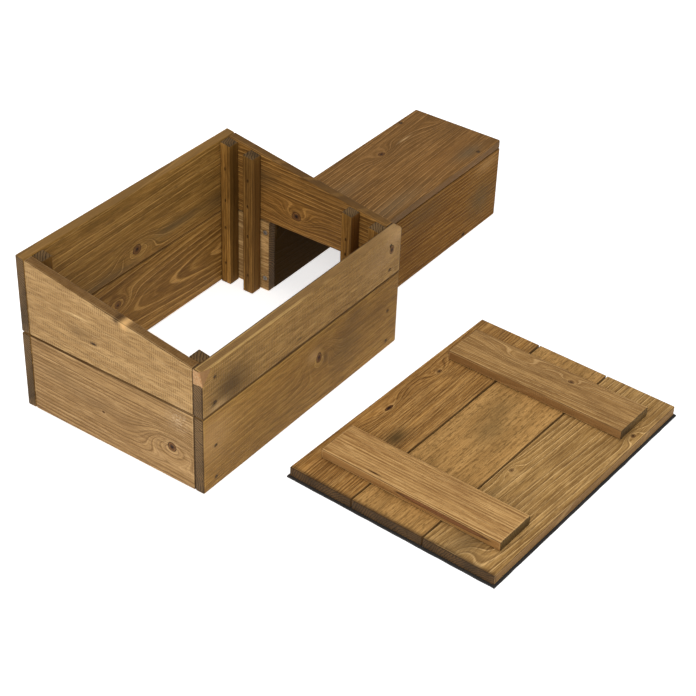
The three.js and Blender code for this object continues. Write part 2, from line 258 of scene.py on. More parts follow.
class Graph:
    """Short calls that wire up the nodes of one material."""

    def __init__(self, name):
        self.material = bpy.data.materials.new(name)
        self.material.use_nodes = True
        self.nodes = self.material.node_tree.nodes
        self.links = self.material.node_tree.links
        self.shader = self.nodes["Principled BSDF"]
        self.coordinates = self.node("ShaderNodeTexCoord")
        self.place = self.coordinates.outputs["Object"]

    def node(self, kind, **settings):
        made = self.nodes.new(kind)
        for name, value in settings.items():
            setattr(made, name, value)
        return made

    def feed(self, socket, value):
        if isinstance(value, bpy.types.NodeSocket):
            self.links.new(value, socket)
        else:
            socket.default_value = value

    def math(self, operation, *values, clamp=False):
        made = self.node("ShaderNodeMath", operation=operation, use_clamp=clamp)
        for socket, value in zip(made.inputs, values):
            self.feed(socket, value)
        return made.outputs[0]

    def times(self, first, second, clamp=False):
        return self.math("MULTIPLY", first, second, clamp=clamp)

    def minus(self, first, second, clamp=False):
        return self.math("SUBTRACT", first, second, clamp=clamp)

    def scaled(self, value, factor, offset, clamp=False):
        return self.math("MULTIPLY_ADD", value, factor, offset, clamp=clamp)

    def vector_math(self, operation, *values):
        made = self.node("ShaderNodeVectorMath", operation=operation)
        for socket, value in zip(made.inputs, values):
            self.feed(socket, value)
        return made.outputs["Vector"]

    def combine(self, x, y, z):
        made = self.node("ShaderNodeCombineXYZ")
        for socket, value in zip(made.inputs, (x, y, z)):
            self.feed(socket, value)
        return made.outputs[0]

    def split(self, vector):
        made = self.node("ShaderNodeSeparateXYZ")
        self.feed(made.inputs[0], vector)
        return made.outputs

    def noise(self, vector, scale=1.0, detail=2.0, roughness=0.5):
        made = self.node("ShaderNodeTexNoise")
        self.feed(made.inputs["Vector"], vector)
        made.inputs["Scale"].default_value = scale
        made.inputs["Detail"].default_value = detail
        made.inputs["Roughness"].default_value = roughness
        return made.outputs

    def ramp(self, value, *stops):
        """Greys against a value; each stop is (position, grey)."""
        made = self.node("ShaderNodeValToRGB")
        self.feed(made.inputs[0], value)
        elements = made.color_ramp.elements
        while len(elements) < len(stops):
            elements.new(0.5)
        for element, (position, shade) in zip(elements, stops):
            element.position = position
            element.color = (shade, shade, shade, 1.0)
        return made.outputs[0]

    def rise(self, value, low, high):
        """0 up to low and 1 from high on."""
        return self.ramp(value, (low, 0.0), (high, 1.0))

    def fall(self, value, low, high):
        """1 up to low and 0 from high on."""
        return self.ramp(value, (low, 1.0), (high, 0.0))

    def mix(self, factor, first, second):
        made = self.node("ShaderNodeMix", data_type="RGBA")
        self.feed(made.inputs[0], factor)
        self.feed(made.inputs[6], first)
        self.feed(made.inputs[7], second)
        return made.outputs[2]

    def measured(self, spot, centre, spread):
        """Both distances of a spot from a centre, in parts of the spread."""
        return [
            self.math("DIVIDE", self.minus(here, middle), reach)
            for here, middle, reach in zip(spot, centre, spread)
        ]

    def squared(self, first, second):
        """The sum of two squares."""
        return self.math("ADD", self.times(first, first), self.times(second, second))

    def bell(self, spot, centre, spread, power=1.0):
        """1 at the centre of a flat oval and falling off smoothly round it."""
        square = self.squared(*self.measured(spot, centre, spread))
        if power != 1.0:
            square = self.math("POWER", square, power)
        return self.math("EXPONENT", self.math("MULTIPLY", square, -1.0))

    def surface(self, colour, roughness, height, relief, strength=1.0):
        """Joins colour, roughness and relief to the shader and returns the material."""
        bump = self.node("ShaderNodeBump")
        bump.inputs["Distance"].default_value = relief
        bump.inputs["Strength"].default_value = strength
        self.feed(bump.inputs["Height"], height)
        self.feed(self.shader.inputs["Base Color"], colour)
        self.feed(self.shader.inputs["Roughness"], roughness)
        self.feed(self.shader.inputs["Normal"], bump.outputs[0])
        return self.material


# Values that a board has unless its own table gives others; lengths are in metres.
PLAIN_GRAIN = {
    "edge": None,  # tone of the narrow faces
    "unlit_face": None,  # painted shade: dark tone of an inner face that lies in shade
    "end": None,  # tone of the sawn ends
    "resin_streak": None,  # along, height, length, width, colour, strength, on a narrow face
    "line": 0.75,  # strength of the latewood lines
    "line_is_light": True,
    "pin_lines": 0.65,  # strength of the fine lines between them
    "band": 0.6,  # strength of the soft broad bands
    "fibre": 0.55,  # strength of the single fibres
    "ring": 0.0052,  # width of a growth ring
    "pith": (0.02, -0.045),  # where the pith lies, across and through the board
    "lean": (0.02, 0.05),  # how the pith leans along the board
    "wander": 0.0022,  # how far the rings wander
    "saw": 0.0,  # strength of the saw marks
    "saw_pitch": 0.0034,
    "mottle": 0.0,  # strength of small scattered flecks
    "knots": (),
    "patches": (),
    "worn": None,  # along, across, length, width of a place rubbed bare
    "arris_dark": 0.62,  # strength of the dirt and painted shade along the arrises
    "arris_light": 0.6,  # strength of the rubbed line beside it, partly a painted highlight
    "arris_reach": 0.001,  # how far in the dirt and painted shade reach
    "gloss": 0.16,
}


class Timber(Graph):
    """Stained softwood, its growth rings figured in three dimensions round a pith.

    The board's own axes (along, across, thickness) lie as lay and centre say. In the grain,
    knots are (along, across, radius, stretch, darkness, lift, reach along, reach across) and
    patches are (along, across, length, width, colour, strength), from the board's low corner.
    The lift of a knot is how many rings it pushes aside within its reach, and one of no
    darkness only bends the rings.
    """

    def __init__(self, name, lay, centre, size, seed, grain, colours):
        super().__init__(name)
        self.grain = {**PLAIN_GRAIN, **grain}
        self.size = size
        self.colours = colours
        self.lay = lay
        self.light = tone(*self.grain["light"])
        self.dark = tone(*self.grain["dark"])
        placing = self.node("ShaderNodeMapping", vector_type="TEXTURE")
        placing.inputs["Location"].default_value = centre
        placing.inputs["Rotation"].default_value = lay
        self.feed(placing.inputs["Vector"], self.place)
        board = placing.outputs[0]
        self.along, self.across, self.depth = self.split(board)
        self.on_face = (self.along, self.across)
        self.seed = seed
        self.seeded = self.vector_math("ADD", board, (seed * 1.7, seed * 0.9, seed * 0.4))
        self.jitter = self.pattern("jitter")
        self.cloud = self.pattern("cloud")
        self.fibre = self.pattern("fibre")

    def pattern(self, kind, output="Fac"):
        """One of the board's own noises, drawn out along its length."""
        along, across, detail, roughness = PATTERNS[kind]
        stretched = self.vector_math("MULTIPLY", self.seeded, (along, across, across))
        return self.noise(stretched, detail=detail, roughness=roughness)[output]

    def from_corner(self, along, across):
        return along - self.size.x / 2, across - self.size.y / 2

    def darken(self, colour, amount, share):
        return self.mix(self.times(amount, share, clamp=True), colour, self.dark)

    def lighten(self, colour, amount, share):
        return self.mix(self.times(amount, share, clamp=True), colour, self.light)

    def ring_count(self):
        """Distance from the pith in ring widths, wandering slowly and bent round the knots."""
        grain = self.grain
        slow = self.pattern("drift", "Color")
        drift = self.split(self.vector_math("SUBTRACT", slow, (0.5, 0.5, 0.5)))
        offsets = []
        axes = (self.across, self.depth)
        for axis, pith, lean, wander in zip(axes, grain["pith"], grain["lean"], drift):
            offset = self.minus(axis, pith)
            offset = self.minus(offset, self.times(self.along, lean))
            offset = self.scaled(wander, 4 * grain["wander"], offset)
            offsets.append(self.times(offset, offset))
        rings = self.math("DIVIDE", self.math("SQRT", self.math("ADD", *offsets)), grain["ring"])
        for u, v, _, _, _, lift, *reach in grain["knots"]:
            swell = self.bell(self.on_face, self.from_corner(u, v), reach)
            rings = self.scaled(swell, lift, rings)
        return rings

    def figured(self):
        """Latewood lines, soft bands and fibres; returns the colour and the relief."""
        grain = self.grain
        rings = self.ring_count()
        phase = self.scaled(self.jitter, 0.22, rings)
        part = self.math("FRACT", phase)
        wide = LATE_LINE_WIDTH / grain["ring"]
        late_stops = ((1 - wide, 0.0), (1 - 0.75 * wide, 1.0), (1 - 0.2 * wide, 1.0), (1.0, 0.0))
        late = self.ramp(part, *late_stops)
        trough = self.ramp(part, (1 - 2.8 * wide, 0.0), (1 - 1.2 * wide, 1.0), (1 - 0.9 * wide, 0.0))
        slow_along = self.times(self.along, 1.8)
        line_space = self.combine(self.times(rings, 0.42), slow_along, self.seed)
        uneven = self.noise(line_space)["Fac"]
        emphasis = self.scaled(uneven, 4.4, -1.35, clamp=True)
        line = self.times(late, emphasis)
        trough = self.times(trough, emphasis)
        band_space = self.combine(self.times(rings, 0.7), slow_along, self.seed + 3.0)
        bands = self.noise(band_space, detail=2.0, roughness=0.55)["Fac"]
        pin_along = self.times(self.along, 3.5)
        pin_rings = self.times(rings, grain["ring"] * PIN_LINES_PER_METRE)
        pin_space = self.combine(pin_rings, pin_along, self.seed + 6.0)
        pins = self.noise(pin_space, detail=3.0, roughness=0.6)["Fac"]

        layers = (
            (self.darken, self.fall(bands, 0.30, 0.52), grain["band"]),
            (self.lighten, self.rise(bands, 0.48, 0.72), grain["band"]),
            (self.darken, self.fall(pins, 0.42, 0.47), grain["pin_lines"]),
            (self.lighten, self.rise(pins, 0.53, 0.58), grain["pin_lines"] * 0.8),
            (self.darken, trough, grain["line"] * 0.6),
            (self.lighten if grain["line_is_light"] else self.darken, line, grain["line"]),
            (self.darken, self.fall(self.fibre, 0.39, 0.47), grain["fibre"]),
            (self.lighten, self.rise(self.fibre, 0.54, 0.62), grain["fibre"] * 0.7),
            (self.darken, self.rise(self.pattern("fleck"), 0.62, 0.68), 0.5),
            (self.darken, self.fall(self.cloud, 0.30, 0.52), 0.35),
        )
        colour = tone(*grain["base"])
        for shift, amount, share in layers:
            colour = shift(colour, amount, share)
        height = self.scaled(pins, 0.8, self.times(self.fibre, 0.5))
        return colour, self.scaled(line, 0.5, height)

    def mottled(self, colour):
        """Small scattered flecks, as on bird's-eye grain."""
        dots = self.pattern("dot")
        return self.darken(colour, self.rise(dots, 0.56, 0.63), self.grain["mottle"])

    def saw_marked(self, colour, height):
        """Fine cuts of the saw across the grain, dotted where the fibres stand proud."""
        turns = self.times(self.along, math.tau / self.grain["saw_pitch"])
        wave = self.math("SINE", self.scaled(self.cloud, 7.0, turns))
        wave = self.scaled(wave, 0.5, 0.5)
        patchy = self.pattern("saw patch")
        mark = self.times(wave, self.rise(patchy, 0.38, 0.62))
        mark = self.times(mark, self.grain["saw"])
        return self.darken(colour, mark, 1.0), self.minus(height, mark)

    def smudged(self, colour):
        """Stains, bleached places and smudges, each a soft uneven oval."""
        for u, v, length, width, shade, strength in self.grain["patches"]:
            oval = self.bell(self.on_face, self.from_corner(u, v), (length, width))
            oval = self.times(oval, self.scaled(self.cloud, 0.8, 0.6))
            colour = self.mix(self.times(oval, strength, clamp=True), colour, tone(*shade))
        return colour

    def knotted(self, colour, height):
        """The knots themselves: a brown body, fine ringlets, a dark rim and a cracked core."""
        for u, v, radius, stretch, darkness, *_ in self.grain["knots"]:
            spread = (radius * stretch, radius)
            offsets = self.measured(self.on_face, self.from_corner(u, v), spread)
            away = self.math("SQRT", self.squared(*offsets))
            away = self.math("ADD", away, self.scaled(self.jitter, 0.9, -0.45))
            wave = self.math("SINE", self.times(away, 15.0))
            ringlets = self.scaled(wave, 0.5, 0.5)
            inside = self.fall(away, 0.75, 1.05)
            rim = self.ramp(away, (0.74, 0.0), (0.88, 1.0), (1.06, 0.0))
            core = self.fall(away, 0.22, 0.50)
            collar = self.ramp(self.times(away, 0.5), (0.48, 0.0), (0.62, 1.0), (0.95, 0.0))
            collar = self.times(collar, self.ramp(self.fibre, (0.40, 0.2), (0.58, 1.0)))
            colour = self.lighten(colour, collar, 0.32 * darkness)
            body = self.times(inside, 0.65 * darkness, clamp=True)
            colour = self.mix(body, colour, self.colours.knot)
            for amount, share in ((self.times(inside, ringlets), 0.55), (rim, 0.9), (core, 1.0)):
                share = self.times(amount, share * darkness, clamp=True)
                colour = self.mix(share, colour, self.colours.knot_core)
            height = self.minus(height, self.times(core, 0.8))
        return colour, height

    def edge_toned(self, colour):
        """Gives the narrow faces, a pitch streak on one, and an inner face in shade their tone, the last
        as painted shade.
        """
        facing = self.node("ShaderNodeMapping", vector_type="TEXTURE")
        facing.inputs["Rotation"].default_value = self.lay
        self.feed(facing.inputs["Vector"], self.coordinates.outputs["Normal"])
        face_along, face_across, face_depth = self.split(facing.outputs[0])
        if self.grain["edge"]:
            on_edge = self.rise(self.math("ABSOLUTE", face_across), 0.55, 0.75)
            edge_colour = tone(*self.grain["edge"])
            colour = self.mix(self.times(on_edge, EDGE_SHARE), colour, edge_colour)
        if self.grain["resin_streak"]:
            u, w, length, width, shade, strength = self.grain["resin_streak"]
            middle = (u - self.size.x / 2, w - self.size.z / 2)
            streak = self.bell((self.along, self.depth), middle, (length, width), power=2.4)
            on_side = self.ramp(face_across, (0.35, 0.0), (0.60, strength))
            body = self.times(self.rise(streak, 0.30, 0.55), on_side)
            colour = self.mix(body, colour, tone(*shade))
            rim = self.ramp(streak, (0.20, 0.0), (0.40, 0.8), (0.75, 0.0))
            colour = self.mix(self.times(rim, on_side), colour, self.colours.knot_core)
        # Painted shade: an inner face that lies in shade takes the dark unlit tone.
        if self.grain["unlit_face"]:
            inner = self.rise(face_depth, 0.55, 0.75)
            colour = self.mix(inner, colour, tone(*self.grain["unlit_face"]))
        self.on_end = self.rise(self.math("ABSOLUTE", face_along), 0.55, 0.75)
        return colour

    def ended(self, colour):
        """Sawn ends: rough arcs round a pith that lies just off the end."""
        beside = self.math("ADD", self.across, END_PITH[0])
        under = self.math("ADD", self.depth, END_PITH[1])
        arcs = self.math("DIVIDE", self.math("SQRT", self.squared(beside, under)), END_RING)
        arcs = self.math("FRACT", self.scaled(self.jitter, END_WAVER, arcs))
        ring_share = self.ramp(arcs, (0.0, 0.05), (0.55, 0.30), (0.88, 1.0), (1.0, 0.05))
        pale = tone(*self.grain["end"]) if self.grain["end"] else self.colours.end_grain
        sawn = self.mix(ring_share, pale, self.colours.end_grain_dark)
        soiled = self.ramp(self.cloud, (0.35, 0.6), (0.6, 0.0))
        sawn = self.mix(soiled, sawn, self.colours.end_grain_dark)
        return self.mix(self.on_end, colour, sawn)

    def arris_dirt_shade_and_highlight(self, colour, slope):
        """Dirt and painted shade held along the arrises, ragged by the grain, and a rubbed line beside
        it that is partly a painted highlight.
        """
        from_end, from_side, from_face = [
            self.minus(extent / 2, self.math("ABSOLUTE", axis))
            for extent, axis in zip(self.size, (*self.on_face, self.depth))
        ]
        if slope:
            rise, middle = slope
            under_roof = self.minus(self.scaled(self.along, rise, middle), self.across)
            from_foot = self.math("ADD", self.across, self.size.y / 2)
            from_side = self.math("MINIMUM", from_foot, under_roof)
        lesser = self.math("MINIMUM", from_side, from_end)
        greater = self.math("MAXIMUM", from_side, from_end)
        arris = self.math("MAXIMUM", lesser, self.math("MINIMUM", greater, from_face))
        arris = self.scaled(self.jitter, -ARRIS_RAGGED, arris)
        arris = self.math("DIVIDE", arris, 2 * self.grain["arris_reach"])
        # Painted shade with dirt: a dark band along every arris, where dirt lies and where shade falls
        # between parts.
        dirt_and_shade = self.fall(arris, 0.0, 0.5)
        dirt_and_shade = self.times(dirt_and_shade, self.grain["arris_dark"])
        # Painted highlight with wear: a light band just inside the arris, partly rubbed wood and partly
        # highlight.
        rubbed = self.ramp(arris, (0.35, 0.0), (0.65, 1.0), (1.0, 0.0))
        rubbed = self.times(rubbed, self.rise(self.cloud, 0.46, 0.58))
        rubbed = self.times(rubbed, self.minus(1.0, self.on_end))
        colour = self.lighten(colour, rubbed, self.grain["arris_light"])
        return self.mix(dirt_and_shade, colour, self.colours.arris)

    def finish(self, stains, slope):
        """Lays the finish on layer by layer; stains are (place, radius) of the nail holes."""
        grain = self.grain
        colour, height = self.figured()
        if grain["mottle"]:
            colour = self.mottled(colour)
        if grain["saw"]:
            colour, height = self.saw_marked(colour, height)
        colour = self.smudged(self.edge_toned(colour))
        colour, height = self.knotted(colour, height)
        for place, radius in stains:
            reach = (radius * HALO_REACH[0], radius * HALO_REACH[1])
            halo = self.bell(self.on_face, place, reach, power=2.0)
            colour = self.mix(self.times(halo, HALO_SHARE), colour, self.colours.nail_stain)
        colour = self.arris_dirt_shade_and_highlight(self.ended(colour), slope)
        dull = self.scaled(self.fibre, 0.22, WOOD_ROUGHNESS - 0.11)
        if grain["worn"]:
            colour, dull = self.rubbed_bare(colour, dull)
        self.shader.inputs["Specular IOR Level"].default_value = grain["gloss"]
        return self.surface(colour, dull, height, GRAIN_RELIEF, 0.9)

    def rubbed_bare(self, colour, dull):
        """A place where the stain is rubbed off, speckled and a little shinier."""
        u, v, length, width = self.grain["worn"]
        rubbed = self.bell(self.on_face, self.from_corner(u, v), (length, width))
        specks = self.pattern("bare speck")
        shine = self.times(rubbed, self.rise(specks, 0.50, 0.58))
        colour = self.mix(self.times(shine, 0.55), colour, self.colours.bare)
        colour = self.darken(colour, self.times(rubbed, self.fall(specks, 0.36, 0.46)), 0.7)
        return colour, self.minus(dull, self.times(rubbed, 0.3), clamp=True)


def split_wood(colours):
    """Torn fibres where the corner of the front board broke away."""
    graph = Graph("split_wood")
    drawn = graph.vector_math("MULTIPLY", graph.place, (90.0, 900.0, 500.0))
    torn = graph.noise(drawn, detail=4.0, roughness=0.7)["Fac"]
    body = graph.noise(graph.place, scale=260.0, detail=2.0)["Fac"]
    colour = graph.mix(graph.ramp(torn, (0.35, 0.7), (0.6, 0.0)), colours.split, colours.split_dark)
    colour = graph.mix(graph.ramp(body, (0.35, 0.6), (0.55, 0.0)), colour, colours.split_warm)
    # Painted shade: away from the end face the split takes the darker tone of facets turned from the
    # light.
    from_end = graph.minus(graph.split(graph.place)[0], CAD_BOX[0].x)
    facet = graph.ramp(graph.times(from_end, 400.0), (0.4, 0.0), (0.8, 0.8))
    colour = graph.mix(facet, colour, colours.split_facet_shade)
    return graph.surface(colour, 0.8, torn, 0.0012)


def roofing_felt(colours):
    """Bitumen felt with fine mineral grit."""
    graph = Graph("roofing_felt")
    grit = graph.noise(graph.place, scale=1500.0, detail=2.0, roughness=0.7)["Fac"]
    cloud = graph.noise(graph.place, scale=22.0, detail=3.0)["Fac"]
    colour = graph.mix(graph.rise(grit, 0.42, 0.70), colours.felt, colours.felt_grit)
    colour = graph.mix(graph.ramp(cloud, (0.35, 0.4), (0.6, 0.0)), colour, colours.felt_dark)
    return graph.surface(colour, graph.scaled(grit, 0.2, 0.74), grit, 0.0006)


def fixing_metal(name, bright, dull, metallic, roughness):
    """Metal of a nail or a screw, dulled in patches."""
    graph = Graph(name)
    patchy = graph.noise(graph.place, scale=900.0, detail=3.0, roughness=0.6)["Fac"]
    colour = graph.mix(graph.fall(patchy, 0.35, 0.60), bright, dull)
    graph.shader.inputs["Metallic"].default_value = metallic
    return graph.surface(colour, graph.scaled(patchy, 0.35, roughness - 0.17), patchy, 0.0002)


# ---- the wood of each board, post and batten ----
def wood(base, light, dark, edge=None, **figure):
    """The stain's middle, light and dark tones and its tone on the narrow faces, then the grain."""
    return {"base": base, "light": light, "dark": dark, "edge": edge, **figure}


WALL_GRAIN = {
    "front_board_lower": wood(
        (145, 105, 48), (180, 140, 73), (100, 69, 27), (134, 100, 58), ring=0.0092, pith=(0.16, -0.06),
        lean=(0.05, 0.02), line=0.6, band=0.42, pin_lines=0.2, fibre=0.66, saw=0.3, arris_dark=0.9,
        arris_light=0.8, arris_reach=0.0016,
        knots=(
            (0.241, 0.077, 0.0086, 0.75, 1.2, 4.6, 0.034, 0.024),
            (0.13, -0.004, 0.001, 1.0, 0.0, 3.4, 0.075, 0.028),
        ),
        patches=(
            (0.3, 0.062, 0.04, 0.026, (96, 72, 40), 0.55),
            (0.318, 0.1, 0.03, 0.012, (92, 68, 38), 0.45),
            (0.02, 0.08, 0.04, 0.036, (168, 130, 82), 0.5),
            (0.23, 0.086, 0.012, 0.01, (182, 144, 92), 0.6),
            (0.255, 0.07, 0.006, 0.009, (82, 58, 30), 0.6),
        ),
    ),
    "front_board_upper": wood(
        (155, 118, 65), (186, 149, 90), (112, 82, 41), (128, 96, 56), ring=0.012, pith=(0.26, -0.06),
        lean=(0.03, 0.02), line=0.55, band=0.3, pin_lines=0.16, fibre=0.58, saw=0.75, arris_dark=0.9,
        arris_light=0.9, arris_reach=0.0016,
        knots=((0.404, 0.044, 0.0064, 0.8, 1.0, 4.0, 0.024, 0.017),),
        patches=(
            (0.056, 0.022, 0.036, 0.026, (70, 50, 24), 0.85),
            (0.03, 0.003, 0.018, 0.008, (182, 148, 100), 0.6),
            (0.022, 0.012, 0.005, 0.004, (50, 36, 20), 0.7),
            (0.412, 0.062, 0.022, 0.012, (200, 162, 112), 0.6),
            (0.385, 0.045, 0.04, 0.03, (166, 132, 86), 0.5),
            (0.197, 0.012, 0.006, 0.002, (60, 42, 22), 0.7),
        ),
    ),
    "rear_board_lower": wood(
        (130, 91, 35), (201, 153, 83), (85, 55, 16), (118, 86, 46), ring=0.0074, pith=(-0.004, -0.036),
        lean=(0.02, 0.085), wander=0.0014, line=0.78, band=0.36, pin_lines=0.22, fibre=0.48,
        knots=((0.168, 0.075, 0.0066, 1.1, 0.9, 3.6, 0.026, 0.014),),
    ),
    "rear_board_upper": wood(
        (138, 99, 41), (199, 151, 81), (88, 62, 20), (124, 92, 50), ring=0.0108, pith=(0.23, -0.045),
        lean=(0.05, 0.04), wander=0.002, line=1.0, band=0.4, pin_lines=0.22, fibre=0.5,
        knots=((0.212, 0.026, 0.0078, 1.1, 1.0, 3.4, 0.038, 0.017),),
        patches=(
            (0.292, 0.026, 0.05, 0.008, (92, 76, 48), 0.6),
            (0.385, 0.022, 0.03, 0.014, (72, 54, 28), 0.6),
            (0.145, 0.005, 0.06, 0.01, (88, 72, 46), 0.5),
        ),
    ),
}
END_GRAIN = {
    "closed_end_board_lower": wood(
        (164, 128, 80), (198, 162, 113), (109, 77, 41), (104, 74, 38), ring=0.0056, pith=(0.3, -0.03),
        lean=(0.03, 0.02), wander=0.0016, line=0.85, line_is_light=False, band=0.42, pin_lines=0.34,
        saw=0.12, saw_pitch=0.0036, arris_dark=0.9, arris_light=0.8, arris_reach=0.0012,
        worn=(0.024, 0.1, 0.016, 0.013),
        knots=(
            (0.0364, 0.0527, 0.0074, 1.0, 1.2, 8.5, 0.042, 0.021),
            (0.152, 0.0525, 0.002, 1.4, 0.9, 0.8, 0.012, 0.005),
        ),
        patches=(
            (0.225, 0.078, 0.034, 0.01, (126, 96, 58), 0.6),
            (0.165, 0.06, 0.046, 0.012, (120, 90, 54), 0.6),
            (0.108, 0.052, 0.03, 0.01, (122, 90, 52), 0.6),
            (0.06, 0.11, 0.09, 0.01, (150, 116, 72), 0.4),
        ),
    ),
    "closed_end_board_upper": wood(
        (172, 136, 87), (205, 170, 119), (125, 92, 51), (94, 60, 18), ring=0.013, pith=(0.3, -0.04),
        lean=(0.05, 0.02), line=0.5, band=0.3, pin_lines=0.16, fibre=0.28, saw=0.75, arris_dark=0.9,
        arris_light=0.45, arris_reach=0.0009,
        patches=(
            (0.162, 0.036, 0.0048, 0.0016, (48, 28, 10), 1.6),
            (0.186, 0.043, 0.02, 0.009, (112, 84, 48), 0.6),
            (0.02, 0.004, 0.014, 0.006, (196, 160, 112), 0.5),
            (0.11, 0.088, 0.0055, 0.006, (214, 168, 108), 1.1),
            (0.122, 0.09, 0.005, 0.005, (70, 46, 20), 0.9),
            (0.187, 0.067, 0.018, 0.0016, (214, 178, 124), 0.8),
        ),
    ),
    "entrance_end_board_upper": wood(
        (126, 85, 32), (186, 136, 69), (80, 51, 14), (88, 62, 30), ring=0.0064, pith=(-0.3, -0.03),
        lean=(0.02, 0.02), wander=0.0014, line=1.0, band=0.36, pin_lines=0.24, fibre=0.52,
        knots=((0.154, 0.029, 0.007, 1.1, 1.0, 4.0, 0.028, 0.014),),
        patches=((0.215, 0.072, 0.026, 0.016, (84, 62, 32), 0.6),),
    ),
    "entrance_stub_front": wood((150, 116, 68), (184, 148, 98), (112, 80, 42)),
    "entrance_stub_rear": wood(
        (166, 129, 77), (202, 162, 106), (116, 83, 44), saw=0.5, saw_pitch=0.015,
    ),
}
POST_WOOD = wood(
    (136, 95, 40), (176, 129, 64), (85, 55, 18), (86, 58, 20), ring=0.0042, pith=(0.15, -0.06),
    lean=(0.0, 0.01), wander=0.001, line=0.6, line_is_light=False, band=0.5, pin_lines=0.43,
    gloss=0.08, arris_dark=0.5,
)
POST_GRAIN = {
    "corner_post_closed_front": POST_WOOD,
    "corner_post_closed_rear": POST_WOOD,
    "corner_post_entrance_front": POST_WOOD,
    "corner_post_entrance_rear": {**POST_WOOD, "base": (154, 110, 48), "light": (196, 146, 76)},
    "entrance_post_front": {**POST_WOOD, "edge": (86, 50, 16)},
    "entrance_post_rear": {**POST_WOOD, "base": (116, 84, 40), "edge": (102, 70, 30)},
}
# heights of the slots that small nails left in the posts
POST_SLOTS = {
    "corner_post_entrance_rear": (0.194, 0.142, 0.096, 0.035),
    "entrance_post_rear": (0.1895, 0.147, 0.097, 0.030),
    "entrance_post_front": (0.160, 0.136),
}
TUNNEL_GRAIN = {
    "tunnel_side_front": wood(
        (111, 73, 25), (156, 113, 56), (78, 47, 13), (110, 80, 42), ring=0.0058, pith=(-0.3, -0.03),
        lean=(-0.02, 0.01), wander=0.0018, line=1.0, band=0.45, pin_lines=0.24, fibre=0.46, gloss=0.05,
        arris_dark=0.3,
        patches=(
            (0.175, 0.1, 0.05, 0.022, (92, 68, 38), 0.6), (0.335, 0.05, 0.034, 0.03, (92, 74, 46), 0.6),
            (0.345, 0.106, 0.03, 0.01, (164, 126, 78), 0.5),
            (0.291, 0.006, 0.004, 0.003, (40, 26, 12), 1.2),
        ),
    ),
    "tunnel_side_rear": wood(
        # The unlit tone paints shade on this side's inner face.
        (120, 89, 48), (152, 117, 70), (88, 62, 30), gloss=0.04, unlit_face=(50, 32, 3),
    ),
    "tunnel_top": wood(
        (128, 89, 42), (182, 135, 79), (86, 57, 22), (96, 68, 34), ring=0.0076, pith=(-0.2, -0.06),
        lean=(0.05, 0.03), wander=0.0026, line=1.0, band=0.42, pin_lines=0.22, fibre=0.42,
        arris_dark=0.35,
        knots=(
            (0.229, 0.118, 0.0046, 1.5, 1.1, 2.4, 0.032, 0.012),
            (0.395, 0.104, 0.001, 1.0, 0.0, 3.4, 0.075, 0.02),
        ),
        patches=(
            (0.29, 0.036, 0.08, 0.026, (136, 92, 42), 0.4),
            (0.318, 0.018, 0.034, 0.012, (96, 82, 60), 0.6),
            (0.118, 0.018, 0.06, 0.014, (122, 104, 76), 0.4),
            (0.09, 0.098, 0.05, 0.016, (122, 100, 70), 0.4),
            (0.289, 0.117, 0.014, 0.0016, (204, 164, 112), 0.9),
        ),
    ),
}
